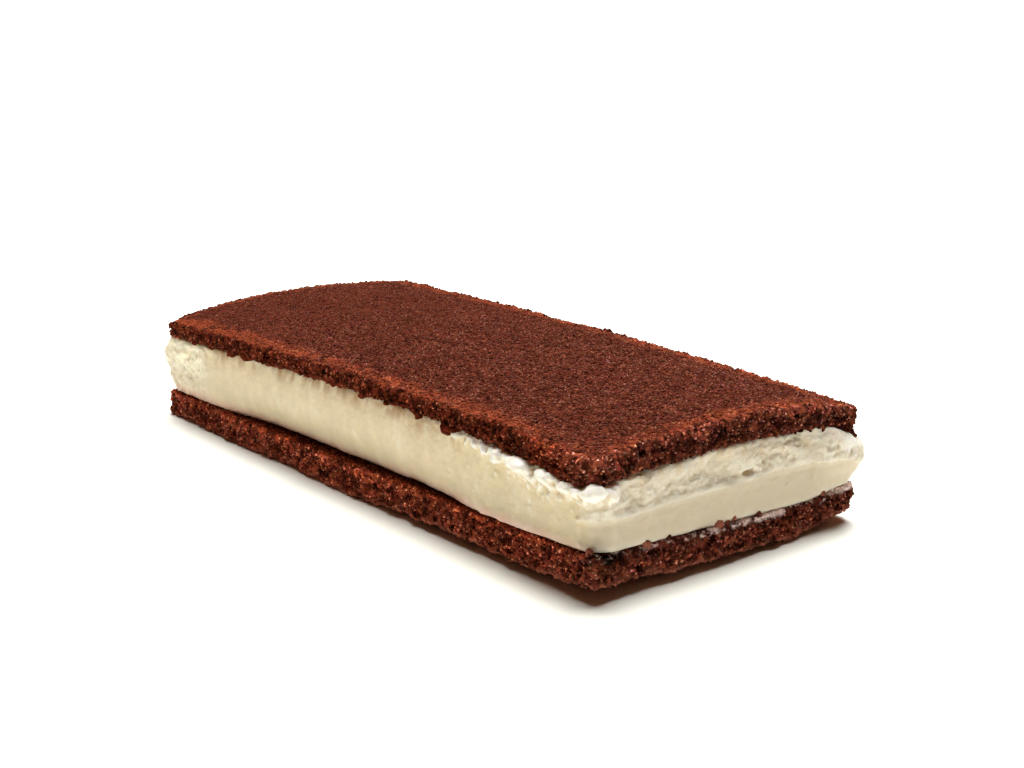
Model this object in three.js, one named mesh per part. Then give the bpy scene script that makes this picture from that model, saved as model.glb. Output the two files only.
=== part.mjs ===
// A milk slice: two thin chocolate sponge slabs with a thick filling of milk cream between them.
// Millimetres, +Z up. X runs along the slice and Y across it. The origin is on the table, under its middle.
import * as THREE from "three";
import { ImprovedNoise } from "three/addons/math/ImprovedNoise.js";
import { mergeVertices } from "three/addons/utils/BufferGeometryUtils.js";

const { smoothstep, lerp } = THREE.MathUtils;

// Driving dimensions of the slice
const sliceLength = 100.4;
const sliceWidth = 44.8;
const crownHeight = 17.65; // table to the arched top, at the middle of the slice
const topThickness = 3;
const farThickening = 0.8; // the top sponge is thicker along its far edge
const rightThickening = 0.4; // and at its right end
const nearThinning = 0.85; // and thinner along its near edge, up to the near right corner
const baseTop = 3.85; // table to the upper face of the base sponge, at the same place
const layerGap = 0.3; // between the cream and each sponge

// How the top sponge has arched: it falls from its crown to its long edges, more so at its ends
const sideDrop = 1;
const cornerDrop = 0.9;
const twistDrop = 0.56; // the left near and right far corners lie lower than the other two
const farRise = 0.1; // the far edge lies a little higher than the near one

// How the slice lies askew: its layers rise to the right end and to the near side
const riseAlong = 1.7;
const riseAcross = 1.4;

// How the base sponge curls up: the share of each half that rests flat, and the lift at its edges.
// The share falls on lines of the base's facets, so that the flat is one true plane.
const flatShare = 0.6;
const leftLift = 0.2;
const rightLift = 0.5; // at the far right corner
const cornerLift = 2.1; // at the near right corner
const nearLift = 1.1; // along the right half of the near side
const farLift = 0.1;
const curlShare = 0.25; // how much of the right end's lift the upper face of the base follows
const farCurl = 1.1; // the far right corner bends up by this, with both its faces
const baseOverhang = 1.1; // how far the base sponge reaches out past the top one at the left end

// Torn sponge edges
const cragSize = 1.1; // smaller than a facet, so that neighbouring points differ
const cragDepth = 0.6;
const waveSize = 9; // the slower wander of an edge
const waveDepth = 0.45;
const cragReach = 3; // how far in from an edge the crags fade out
const toothDepth = 0.8; // crumbs that hang over the cream from the long lower edges of the top sponge
const toothSize = 3.1;
const rimRounding = 0.1;
const cornerRounding = 0.1;
const skinBump = 0.16; // low bumps of the baked skin
const skinBumpSize = 7;

// The filling: along the sides it bulges and stands back from the sponge, and at the ends it is cut flush
const ledge = 2.5; // how far it stands back at the foot of a side
const endLedge = 0.7; // the same, beside the cut ends
const leftLedgeFade = [0.35, 0.8]; // the shares of the half length between which the one turns to the other
const rightLedgeFade = [0.25, 0.65];
const bellyAt = 0.62; // share of its height where a side stands out most
const bellyRecess = 0.24; // share of the ledge that is left there
const shoulderRecess = 0.2; // what it draws in again under the top sponge
const cutRecess = 0.3; // the smooth lower half of the cut end, behind the sponge
const tornRecess = 0.9; // the rough upper half, behind the crease
const creaseAt = 0.52;
const tornBump = 0.7;
const tornSize = 2.8;
const leftBulge = 2.3; // the left end is squeezed out past the sponge
const leftBulgeFade = 0.25; // the share of it that is lost towards the corners
const bulgeRise = 1.6; // over 1, the ends bulge most over the middle of their height
const farBulge = 1.6; // the right end is squeezed out at its far corner
const squeezeOut = 1.5; // lumps pressed out under the top sponge, towards both ends
const squeezeSize = 3.4;
const squeezeStart = 0.42; // share of the half length where they begin
const sideShoulder = 0.45; // rounding of its upper edge along the sides
const endShoulder = 0.15; // the same at the cut ends
const shoulderReach = 0.08; // as a share of each half

// Facets along, across and up each layer
const topFacets = [44, 18, 3];
const creamFacets = [44, 16, 9];
const baseFacets = [50, 20, 3];

const halfLength = sliceLength / 2;
const halfWidth = sliceWidth / 2;
const perlin = new ImprovedNoise();

// Smooth noise, about 0.7 either way, with lumps of one size. Each use has its own layer of it.
function unevenness(x, y, z, size, layer) {
  const shift = layer * 31.7;
  return perlin.noise(x / size + shift, y / size + shift, z / size + 0.37);
}

// 1 at an edge of the slice and 0 from reach inwards
function nearEdge(distance, half, reach) {
  return smoothstep(Math.abs(distance), half - reach, half);
}

// How far the layers lie over their middle height
function askew(x, y) {
  return (riseAlong * x) / sliceLength - (riseAcross * y) / sliceWidth;
}

// Height of the upper skin over the table
function skinHeight(x, y) {
  const along = x / halfLength;
  const across = y / halfWidth;
  const arch = across ** 2 * (sideDrop + cornerDrop * along ** 2);
  return crownHeight - arch - twistDrop * along * across ** 3 + farRise * across + askew(x, y);
}

// Height of the top sponge's lower face, which the cream lies under
function ceilingHeight(x, y) {
  const far = smoothstep(y / halfWidth, flatShare, 1);
  const right = smoothstep(x / halfLength, flatShare, 1);
  const near = smoothstep(-y / halfWidth, flatShare, 1) * (1 - smoothstep(x / halfLength, 0.5, 0.9));
  return skinHeight(x, y) - topThickness - farThickening * far - rightThickening * right + nearThinning * near;
}

// How far a point lies beyond the flat middle of its half, from 0 to 1 at the edge
function beyondFlat(distance, half) {
  return Math.max(0, Math.abs(distance) / half - flatShare) / (1 - flatShare);
}

// How far the ends of the base sponge are lifted
function endHeight(x, y) {
  const towardsNear = (1 - y / halfWidth) / 2;
  const endLift = x < 0 ? leftLift : lerp(rightLift, cornerLift, towardsNear ** 2);
  return endLift * beyondFlat(x, halfLength);
}

// How far the far right corner of the base sponge is bent up
function cornerHeight(x, y) {
  return x < 0 ? 0 : farCurl * beyondFlat(x, halfLength) * smoothstep(y / halfWidth, flatShare, 1);
}

// Height of the base sponge's underside over the table
function undersideHeight(x, y) {
  const sideLift = y < 0 ? nearLift * smoothstep(x / halfLength, 0, 1 - flatShare) : farLift;
  return Math.max(endHeight(x, y), sideLift * beyondFlat(y, halfWidth)) + cornerHeight(x, y);
}

// Height of the base sponge's upper face over the table
function baseHeight(x, y) {
  return baseTop + askew(x, y) + curlShare * endHeight(x, y) + cornerHeight(x, y);
}

// A closed block of facets whose points, each coordinate from -1 to 1, are put in place by a function
function shapedBlock([along, across, up], place) {
  const block = new THREE.BoxGeometry(2, 2, 2, along, across, up);
  block.deleteAttribute("normal");
  block.deleteAttribute("uv");
  const geometry = mergeVertices(block);
  const points = geometry.getAttribute("position");
  for (let i = 0; i < points.count; i += 1) {
    const placed = place(points.getX(i), points.getY(i), points.getZ(i));
    points.setXYZ(i, placed.x, placed.y, placed.z);
  }
  geometry.computeVertexNormals();
  return geometry;
}

// How far a torn wall stands out at a point: small crags on a slower wander
function tornWall(x, y, height, layer) {
  const crag = cragDepth * unevenness(x, y, height, cragSize, layer);
  return crag + waveDepth * unevenness(x, y, height, waveSize, layer + 1);
}

// Plan position of a sponge point, with torn walls and the corners worn round
function spongePlan(u, v, height, layer) {
  const x = u * halfLength;
  const y = v * halfWidth;
  const endWall = nearEdge(x, halfLength, cragReach);
  const sideWall = nearEdge(y, halfWidth, cragReach);
  const standsOut = tornWall(x, y, height, layer) - cornerRounding * endWall * sideWall;
  return {
    x: x + Math.sign(u) * endWall * standsOut,
    y: y + Math.sign(v) * sideWall * standsOut,
    edge: Math.max(endWall, sideWall),
  };
}

function topSpongePoint(u, v, w) {
  const share = (w + 1) / 2;
  const { x, y, edge } = spongePlan(u, v, share * topThickness, 1);
  const atSideRim = Math.abs(v) === 1 ? 1 : 0;
  const bump = skinBump * unevenness(x, y, 0, skinBumpSize, 3);
  const tooth = atSideRim * toothDepth * Math.max(0, unevenness(x, y, 0, toothSize, 4));
  const lower = ceilingHeight(x, y) - tooth;
  const upper = skinHeight(x, y) + bump - rimRounding * edge ** 2;
  return new THREE.Vector3(x, y, lerp(lower, upper, share));
}

function baseSpongePoint(u, v, w) {
  const share = (w + 1) / 2;
  const { x, y, edge } = spongePlan(u, v, share * baseTop, 5);
  const lower = undersideHeight(x, y);
  const upper = baseHeight(x, y) - rimRounding * edge ** 2;
  const overhang = baseOverhang * smoothstep(-u, flatShare, 1);
  return new THREE.Vector3(x - overhang, y, lerp(lower, upper, share));
}

// How far a side of the cream stands back, as a share of the ledge, from its foot (0) to the top sponge (1)
function sideProfile(share) {
  if (share < bellyAt) {
    return bellyRecess + (1 - bellyRecess) * (1 - share / bellyAt) ** 2;
  }
  return bellyRecess + shoulderRecess * ((share - bellyAt) / (1 - bellyAt)) ** 2;
}

// Lumps that stand out where the cream is pressed from under the top sponge, towards the ends
function squeezed(x, height, share) {
  const here = smoothstep(Math.abs(x) / halfLength, squeezeStart, 1) * smoothstep(share, 0.55, 0.8);
  return here * squeezeOut * Math.max(0, unevenness(x, 0, height, squeezeSize, 7));
}

// How far a cut end stands back. The right end is smooth below its crease and torn above it.
function endRecess(u, y, height, share) {
  if (u < 0) {
    const middle = 1 - leftBulgeFade * (y / halfWidth) ** 4;
    const torn = tornBump * unevenness(0, y, height, tornSize, 8);
    return cutRecess + torn - leftBulge * middle * Math.sin(Math.PI * share ** bulgeRise);
  }
  const above = smoothstep(share, creaseAt - 0.04, creaseAt + 0.06);
  const torn = tornBump * unevenness(0, y, height, tornSize, 9);
  const pressed = farBulge * smoothstep(y / halfWidth, flatShare, 1) * Math.sin(Math.PI * share ** bulgeRise);
  return lerp(cutRecess, tornRecess + torn, above) - pressed;
}

function creamPoint(u, v, w) {
  const share = (w + 1) / 2;
  const height = share * (crownHeight - baseTop - topThickness);
  const beside = smoothstep(Math.abs(u), ...(u < 0 ? leftLedgeFade : rightLedgeFade));
  const recess = lerp(ledge, endLedge, beside) * sideProfile(share);
  const x = u * (halfLength - endRecess(u, v * halfWidth, height, share) * Math.abs(u) ** 8);
  const y = v * (halfWidth - recess + squeezed(x, height, share) * Math.abs(v) ** 8);
  const rounding = Math.max(
    endShoulder * nearEdge(u, 1, shoulderReach),
    sideShoulder * nearEdge(v, 1, shoulderReach),
  );
  const lower = baseHeight(x, y) + layerGap;
  const upper = ceilingHeight(x, y) - layerGap - rounding;
  return new THREE.Vector3(x, y, lerp(lower, upper, share));
}

function layer(name, facets, place, look) {
  const mesh = new THREE.Mesh(shapedBlock(facets, place), new THREE.MeshStandardMaterial(look));
  mesh.name = name;
  return mesh;
}

const cocoaSponge = { color: 0x6a3729, roughness: 0.95, metalness: 0 };
const milkCream = { color: 0xe2d3ae, roughness: 0.55, metalness: 0 };

const slice = new THREE.Group();
slice.add(
  layer("base_sponge", baseFacets, baseSpongePoint, cocoaSponge),
  layer("milk_cream", creamFacets, creamPoint, milkCream),
  layer("top_sponge", topFacets, topSpongePoint, cocoaSponge),
);

// Crags and bulges differ from side to side, so the slice is set with its outline centred over the origin
const outline = new THREE.Box3().setFromObject(slice);
const middle = outline.getCenter(new THREE.Vector3());
slice.position.set(-middle.x, -middle.y, -outline.min.z);

const part = new THREE.Group();
part.add(slice);

export default part;
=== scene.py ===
import math

import bmesh
import bpy
import numpy as np
from mathutils import Matrix, Vector


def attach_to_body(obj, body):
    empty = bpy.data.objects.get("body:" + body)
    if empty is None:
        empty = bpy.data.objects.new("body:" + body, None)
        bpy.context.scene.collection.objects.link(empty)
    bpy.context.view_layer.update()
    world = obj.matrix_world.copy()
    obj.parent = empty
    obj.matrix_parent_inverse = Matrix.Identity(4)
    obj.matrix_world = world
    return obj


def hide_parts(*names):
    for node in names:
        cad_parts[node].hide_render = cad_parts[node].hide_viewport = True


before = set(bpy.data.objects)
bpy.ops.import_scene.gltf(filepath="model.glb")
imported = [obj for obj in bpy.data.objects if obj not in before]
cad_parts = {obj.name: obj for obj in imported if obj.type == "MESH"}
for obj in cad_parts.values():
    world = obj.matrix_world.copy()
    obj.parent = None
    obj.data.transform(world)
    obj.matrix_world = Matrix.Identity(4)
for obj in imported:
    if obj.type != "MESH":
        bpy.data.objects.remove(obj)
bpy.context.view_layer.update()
mm = 0.001


# A socket of a node tree. Sums and products of sockets and numbers add Math nodes.
class Wire:
    def __init__(self, board, socket):
        self.board = board
        self.socket = socket

    def maths(self, operation, *values):
        return self.board.add("ShaderNodeMath", {"operation": operation}, dict(enumerate(values)))

    def __add__(self, other):
        return self.maths("ADD", self, other)

    def __radd__(self, other):
        return self.maths("ADD", other, self)

    def __sub__(self, other):
        return self.maths("SUBTRACT", self, other)

    def __rsub__(self, other):
        return self.maths("SUBTRACT", other, self)

    def __mul__(self, other):
        return self.maths("MULTIPLY", self, other)

    def __rmul__(self, other):
        return self.maths("MULTIPLY", other, self)

    def __truediv__(self, other):
        return self.maths("DIVIDE", self, other)

    def __rtruediv__(self, other):
        return self.maths("DIVIDE", other, self)

    def __abs__(self):
        return self.maths("ABSOLUTE", self)

    def atLeast(self, other):
        return self.maths("MAXIMUM", self, other)

    def atMost(self, other):
        return self.maths("MINIMUM", self, other)

    # 0 below low and 1 above high, with a smooth step between; low may be the larger
    def step(self, low, high):
        sockets = {"Value": self, "From Min": low, "From Max": high}
        return self.board.add("ShaderNodeMapRange", {"interpolation_type": "SMOOTHSTEP"}, sockets)

    # the same for a length, with low and high in mm
    def stepMm(self, low, high):
        return self.step(low * mm, high * mm)


# A scattered grain: its smallest size, thinnest and thickest against its radius, and a whole turn
grainShape = {"smallest": 0.4, "thinnest": 0.55, "thickest": 1.3, "fullTurn": 6.28}


# A node tree, for a material or for geometry
class Board:
    def __init__(self, tree):
        self.tree = tree

    def add(self, kind, settings=None, sockets=None, out=0):
        node = self.tree.nodes.new(kind)
        for name, value in (settings or {}).items():
            setattr(node, name, value)
        for key, value in (sockets or {}).items():
            if isinstance(value, Wire):
                self.tree.links.new(value.socket, node.inputs[key])
            else:
                node.inputs[key].default_value = value
        return Wire(self, node.outputs[out])

    def feed(self, wire, node, socket):
        self.tree.links.new(wire.socket, node.inputs[socket])

    # smooth noise, mostly from -1 to 1, with lumps of about one size in metres
    def uneven(self, place, size, detail, roughness, seed):
        sockets = {"Vector": place, "W": seed, "Scale": 1 / size, "Detail": detail, "Roughness": roughness}
        noise = self.add("ShaderNodeTexNoise", {"noise_dimensions": "4D"}, sockets)
        return (noise - 0.5) * 4

    # a place pushed about by noise, so that cells lose their straight walls
    def warped(self, place, amount, size=1.5 * mm):
        noise = self.add("ShaderNodeTexNoise", None, {"Vector": place, "Scale": 1 / size}, out=1)
        centred = self.vectors("SUBTRACT", noise, (0.5, 0.5, 0.5))
        return self.vectors("ADD", place, self.scaled(centred, amount * 4))

    # 0 in the middle of each cell, rising to its walls
    def cells(self, place, size):
        return self.add("ShaderNodeTexVoronoi", None, {"Vector": place, "Scale": 1 / size})

    # a value from -1 to 1 for each cell
    def cellTone(self, place, size):
        tone = self.add("ShaderNodeTexVoronoi", None, {"Vector": place, "Scale": 1 / size}, out=1)
        return self.split(tone)[0] * 2 - 1

    # 1 in the middle of a ball with three radii and 0 from its wall on; centre and radii in mm
    def ball(self, place, centre, radii, core=0.35):
        apart = self.vectors("SUBTRACT", place, [v * mm for v in centre])
        apart = self.vectors("DIVIDE", apart, [v * mm for v in radii])
        return self.add("ShaderNodeVectorMath", {"operation": "LENGTH"}, {0: apart}, out=1).step(1.0, core)

    def split(self, vector):
        return [self.add("ShaderNodeSeparateXYZ", None, {0: vector}, out=axis) for axis in range(3)]

    def combined(self, x, y, z):
        return self.add("ShaderNodeCombineXYZ", None, {0: x, 1: y, 2: z})

    def scaled(self, vector, factor):
        return self.add("ShaderNodeVectorMath", {"operation": "SCALE"}, {0: vector, "Scale": factor})

    def vectors(self, operation, first, second, out=0):
        return self.add("ShaderNodeVectorMath", {"operation": operation}, {0: first, 1: second}, out)

    def blend(self, share, first, second):
        return self.add("ShaderNodeMix", {"data_type": "RGBA"}, {0: share, 6: first, 7: second}, out=2)

    # a colour whose red, green and blue each grow by a share of a value
    def hued(self, colour, value, shares):
        gains = self.combined(*[1 + value * share for share in shares])
        return self.vectors("MULTIPLY", colour, gains)

    # what a mesh keeps for each point: as a material reads it, and as a geometry tree does
    def shown(self, name):
        return self.add("ShaderNodeAttribute", {"attribute_name": name}, out=2)

    def kept(self, name):
        return self.add("GeometryNodeInputNamedAttribute", {"data_type": "FLOAT"}, {"Name": name})

    def store(self, geometry, name, value, domain="POINT"):
        return self.add("GeometryNodeStoreNamedAttribute", {"data_type": "FLOAT", "domain": domain},
                        {"Geometry": geometry, "Name": name, "Value": value})

    def moved(self, geometry, offset):
        return self.add("GeometryNodeSetPosition", None, {"Geometry": geometry, "Offset": offset})

    def roundBall(self, subdivisions):
        return self.add("GeometryNodeMeshIcoSphere", None, {"Radius": 1.0, "Subdivisions": subdivisions})

    def spread(self, mesh, density, seed):
        return self.add("GeometryNodeDistributePointsOnFaces", {"distribute_method": "RANDOM"},
                        {"Mesh": mesh, "Density": density, "Seed": seed})

    def randomValue(self, low, high, seed):
        sockets = {2: low, 3: high, "Seed": seed}
        return self.add("FunctionNodeRandomValue", {"data_type": "FLOAT"}, sockets, out=1)

    def randomVector(self, low, high, seed):
        sockets = {0: (low, low, low), 1: (high, high, high), "Seed": seed}
        return self.add("FunctionNodeRandomValue", {"data_type": "FLOAT_VECTOR"}, sockets)

    # uneven grains at points, as plain mesh, each with a tint from 0 to 1
    def scatter(self, spots, grain, radius, seed):
        size = self.randomValue(grainShape["smallest"], 1.0, seed)
        turn = self.randomVector(0, grainShape["fullTurn"], seed + 1)
        stretch = self.randomVector(grainShape["thinnest"], grainShape["thickest"], seed + 2)
        tint = self.randomValue(0.0, 1.0, seed + 3)
        placed = self.add("GeometryNodeInstanceOnPoints", None,
                          {"Points": spots, "Instance": grain, "Rotation": turn,
                           "Scale": self.scaled(stretch, size * radius)})
        tinted = self.store(placed, "tint", tint, "INSTANCE")
        return self.add("GeometryNodeRealizeInstances", None, {"Geometry": tinted})

    def join(self, *parts):
        whole = self.tree.nodes.new("GeometryNodeJoinGeometry")
        for part in parts:
            self.tree.links.new(part.socket, whole.inputs[0])
        return Wire(self, whole.outputs[0])

    # stores how far a point stands over its surroundings, in mm
    def measured(self, geometry, place, normal, reach):
        even = self.add("GeometryNodeBlurAttribute", {"data_type": "FLOAT_VECTOR"},
                        {"Value": place, "Iterations": reach})
        lift = self.vectors("DOT_PRODUCT", self.vectors("SUBTRACT", place, even), normal, out=1)
        return self.store(geometry, "lift", lift / mm)

    def finished(self, geometry, material):
        whole = self.add("GeometryNodeRealizeInstances", None, {"Geometry": geometry})
        rounded = self.add("GeometryNodeSetShadeSmooth", None, {"Geometry": whole, "Shade Smooth": True})
        return self.add("GeometryNodeSetMaterial", None, {"Geometry": rounded, "Material": material})

    def leave(self, geometry):
        self.tree.links.new(geometry.socket, self.exit.inputs[0])


# A geometry tree with a named input for each value
def geometryBoard(name, inputs):
    tree = bpy.data.node_groups.new(name, "GeometryNodeTree")
    tree.interface.new_socket("Geometry", in_out="INPUT", socket_type="NodeSocketGeometry")
    tree.interface.new_socket("Geometry", in_out="OUTPUT", socket_type="NodeSocketGeometry")
    for key, value in inputs.items():
        kind = "NodeSocketInt" if isinstance(value, int) else "NodeSocketFloat"
        tree.interface.new_socket(key, in_out="INPUT", socket_type=kind)
    board = Board(tree)
    entry = tree.nodes.new("NodeGroupInput")
    board.inputs = {socket.name: Wire(board, socket) for socket in entry.outputs if socket.name}
    board.exit = tree.nodes.new("NodeGroupOutput")
    return board


# Puts a tree on a piece and sets its inputs
def attach(piece, board, inputs):
    modifier = piece.modifiers.new(board.tree.name, "NODES")
    modifier.node_group = board.tree
    for item in board.tree.interface.items_tree:
        if item.in_out == "INPUT" and item.name in inputs:
            modifier[item.identifier] = inputs[item.name]


def newMaterial(name):
    material = bpy.data.materials.new(name)
    material.use_nodes = True
    return material, Board(material.node_tree), material.node_tree.nodes["Principled BSDF"]


def addObject(name, data):
    thing = bpy.data.objects.new(name, data)
    bpy.context.scene.collection.objects.link(thing)
    return thing


# Turns a piece and its modifiers into a plain mesh
def settle(piece):
    graph = bpy.context.evaluated_depsgraph_get()
    shown = piece.evaluated_get(graph)
    mesh = bpy.data.meshes.new_from_object(shown, preserve_all_data_layers=True, depsgraph=graph)
    piece.modifiers.clear()
    piece.data = mesh


def meltTogether(piece, voxel, smoothing=0):
    remesh = piece.modifiers.new("melt", "REMESH")
    remesh.mode = "VOXEL"
    remesh.voxel_size = voxel
    remesh.use_smooth_shade = True
    if smoothing:
        smooth = piece.modifiers.new("smooth", "SMOOTH")
        smooth.iterations = smoothing
    settle(piece)


# A copy of a CAD node with its doubles merged, remeshed to even small faces
def copyNode(nodeName, pieceName, voxel, smoothing):
    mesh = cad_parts[nodeName].data.copy()
    work = bmesh.new()
    work.from_mesh(mesh)
    bmesh.ops.remove_doubles(work, verts=work.verts, dist=1e-6)
    work.to_mesh(mesh)
    work.free()
    mesh.materials.clear()
    piece = addObject(pieceName, mesh)
    meltTogether(piece, voxel, smoothing)
    return piece


def meshArrays(mesh):
    places = np.zeros(len(mesh.vertices) * 3, np.float32)
    mesh.vertices.foreach_get("co", places)
    normals = np.zeros(len(mesh.vertices) * 3, np.float32)
    mesh.vertex_normals.foreach_get("vector", normals)
    return places.reshape(-1, 3), normals.reshape(-1, 3)


# Collapses faces down to a number of triangles: where weight is 1 first, and nowhere where it is 0
def thinOut(piece, weight, triangles):
    group = piece.vertex_groups.new(name="thin")
    for share in np.unique(weight[weight > 0]):
        group.add(np.flatnonzero(weight == share).tolist(), float(share), "REPLACE")
    piece.data.calc_loop_triangles()
    decimate = piece.modifiers.new("thin", "DECIMATE")
    decimate.vertex_group = "thin"
    decimate.ratio = min(1.0, triangles / len(piece.data.loop_triangles))
    settle(piece)
    piece.vertex_groups.clear()


def coarseness():
    return 1.0


def finishPiece(piece, slot, *nodes):
    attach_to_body(piece, "root")
    if nodes:
        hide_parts(*nodes)
    piece.data.calc_loop_triangles()
    print(piece.name, len(piece.data.loop_triangles), "triangles")


# Camera, as fitted to the photo's corners of the slice: lens and place in mm, turns in degrees
photoCamera = {
    "lens": 63.75,
    "sensor": 36,
    "place": (196.847, -150.517, 82.738),
    "yaw": 141.48,
    "pitch": 16.043,
    "roll": -0.559,
    "nearest": 0.005,  # in metres
    "farthest": 50,
}


def makeCamera(recipe):
    yaw = math.radians(recipe["yaw"])
    pitch = math.radians(recipe["pitch"])
    roll = math.radians(recipe["roll"])
    ahead = Vector((math.cos(yaw) * math.cos(pitch), math.sin(yaw) * math.cos(pitch), -math.sin(pitch)))
    level = Vector((math.sin(yaw), -math.cos(yaw), 0))
    upright = level.cross(ahead)
    right = level * math.cos(roll) + upright * math.sin(roll)
    up = upright * math.cos(roll) - level * math.sin(roll)
    data = bpy.data.cameras.new("camera")
    data.lens = recipe["lens"]
    data.sensor_width = recipe["sensor"]
    data.clip_start = recipe["nearest"]
    data.clip_end = recipe["farthest"]
    camera = addObject("camera", data)
    turn = Matrix((right, up, -ahead)).transposed().to_4x4()
    camera.matrix_world = Matrix.Translation(Vector(recipe["place"]) * mm) @ turn
    bpy.context.scene.camera = camera


# Studio: a white table and one broad light from above. Little light comes from the sides.
studio = {
    "surround": 0.09,
    "surroundColour": (1.0, 0.48, 0.25, 1),
    "light": 6.4,
    "lightSpread": 40,
    "lightFrom": (-0.21, 0.22, 1.0),
    "tableSize": 12.0,
    "tableColour": (0.94, 0.96, 0.89, 1),
    "tableRoughness": 0.6,
    "tableSpecular": 0.1,
}


# The camera sees a white surround, and the slice a dim one
def makeSurround(recipe):
    world = bpy.data.worlds.new("surround")
    world.use_nodes = True
    board = Board(world.node_tree)
    seen = board.add("ShaderNodeLightPath")
    background = world.node_tree.nodes["Background"]
    board.feed(board.blend(seen, recipe["surroundColour"], (1, 1, 1, 1)), background, "Color")
    board.feed(seen * (1 - recipe["surround"]) + recipe["surround"], background, "Strength")
    bpy.context.scene.world = world


def makeLight(recipe):
    lamp = bpy.data.lights.new("softLight", "SUN")
    lamp.energy = recipe["light"]
    lamp.angle = math.radians(recipe["lightSpread"])
    light = addObject("softLight", lamp)
    light.rotation_mode = "QUATERNION"
    light.rotation_quaternion = Vector(recipe["lightFrom"]).to_track_quat("Z", "Y")


def makeTable(recipe):
    half = recipe["tableSize"] / 2
    corners = [(-half, -half, 0), (half, -half, 0), (half, half, 0), (-half, half, 0)]
    mesh = bpy.data.meshes.new("table")
    mesh.from_pydata(corners, [], [(0, 1, 2, 3)])
    material, board, shader = newMaterial("tableTop")
    shader.inputs["Base Color"].default_value = recipe["tableColour"]
    shader.inputs["Roughness"].default_value = recipe["tableRoughness"]
    shader.inputs["Specular IOR Level"].default_value = recipe["tableSpecular"]
    mesh.materials.append(material)
    addObject("table", mesh)


def makeStudio(recipe):
    bpy.context.scene.view_settings.view_transform = "Standard"
    makeSurround(recipe)
    makeLight(recipe)
    makeTable(recipe)


# Sponge: sizes and depths in mm, colours linear
sponge = {
    "voxel": 0.28,
    "triangles": 190000,
    "walls": (50.0, 22.2),  # half the length and the width at the walls
    "tips": (51.2, 22.8),  # and out to the tips of the crags
    "covered": (3.0, 3.4),  # how far in from the walls the cream covers a slab
    "onTable": 0.8,  # how far in the base lies on the table
    "offTable": (0.35, 0.5),  # how high up it is clear of it
    "cragSize": 2.2,
    "cragDepth": 0.18,
    "chunkSize": 0.95,
    "chunkDepth": 0.4,
    "chunkEdge": (0.7, 0.1),  # shares of a cell, from outside in
    "chunkWarp": 0.35,
    "pitSize": 1.9,
    "pitDepth": 0.55,
    "pitEdge": (0.5, 0.15),
    "pitWarp": 0.5,
    "pitGroups": 2.2,  # size of a group of pits, in pits
    "crumbSize": 0.6,
    "crumbDepth": 0.11,
    "speckSize": 0.30,
    "speckHeight": 0.3,
    "liftUnit": 0.14,  # a lift that counts as 1
    # deep is painted shade for the pores, middle the crumb's own colour
    "deep": (0.026, 0.0036, 0.0022, 1),
    "middle": (0.118, 0.0275, 0.0145, 1),
    "roughness": 0.9,
    "speckRoughness": 0.04,
}
# A crumb lost from the base's corner, in mm
bite = {
    "centre": (50.9, -19.6, 5.7),
    "radii": (2.2, 1.9, 1.1),
    "depth": 1.3,
    "warp": 0.8,
    "shade": 0.85,
    "shadeReach": 1.6,  # radii of its shade against its own
}


# How far a place lies in from walls at half a length and half a width in mm
def inwardFrom(x, y, half):
    return (half[0] * mm - abs(x)).atMost(half[1] * mm - abs(y))


# Tears the walls of a slab into crags and pits
def cragTree(inputs, recipe):
    board = geometryBoard("tornCrumb", inputs)
    give = board.inputs
    place = board.add("GeometryNodeInputPosition")
    normal = board.add("GeometryNodeInputNormal")
    wall = abs(board.split(normal)[2]).step(0.92, 0.6)
    crag = board.uneven(place, give["Crag size"], 2, 0.5, 1.3) * give["Crag depth"]
    chunkPlace = board.warped(place, recipe["chunkWarp"] * mm)
    chunk = board.cells(chunkPlace, give["Chunk size"]).step(*recipe["chunkEdge"]) * give["Chunk depth"]
    pitPlace = board.warped(place, recipe["pitWarp"] * mm)
    hollow = board.cells(pitPlace, give["Pit size"]).step(*recipe["pitEdge"])
    chosen = board.uneven(place, give["Pit size"] * recipe["pitGroups"], 1, 0.5, 7.7).step(-0.35, 0.35)
    pit = hollow * chosen * give["Pit depth"]
    bitePlace = board.warped(place, bite["warp"] * mm)
    lost = board.ball(bitePlace, bite["centre"], bite["radii"]) * give["Bite depth"]
    offset = board.scaled(normal, (crag + chunk - pit) * wall - lost)
    board.leave(board.moved(give["Geometry"], offset))
    return board


# Fine crumb over the whole slab. Each point keeps which way it faces, 1 for up, how far it lies over
# its surroundings, and whether it is bare: neither under the cream nor on the table.
def crumbTree(inputs, recipe, material):
    board = geometryBoard("fineCrumb", inputs)
    give = board.inputs
    place = board.add("GeometryNodeInputPosition")
    normal = board.add("GeometryNodeInputNormal")
    x, y, z = board.split(place)
    facing = board.add("GeometryNodeBlurAttribute", {"data_type": "FLOAT"},
                       {"Value": board.split(normal)[2], "Iterations": 20})
    inward = inwardFrom(x, y, recipe["walls"])
    covered = (facing * give["Covered side"]).step(0.3, 0.5) * inward.stepMm(*recipe["covered"])
    bare = (1 - covered) * z.stepMm(*recipe["offTable"])
    known = board.store(board.store(give["Geometry"], "facing", facing), "bare", bare)
    fine = board.uneven(place, give["Crumb size"], 1, 0.5, 4.1)
    rough = board.moved(known, board.scaled(normal, fine * give["Crumb depth"]))
    board.leave(board.finished(board.measured(rough, place, normal, 10), material))
    return board


# The skin is finer towards its far left corner: 0 at the near right one, 1 at the far left
def calmShare(x, y):
    return (y * 0.6 - x).stepMm(-10, 40)


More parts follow.
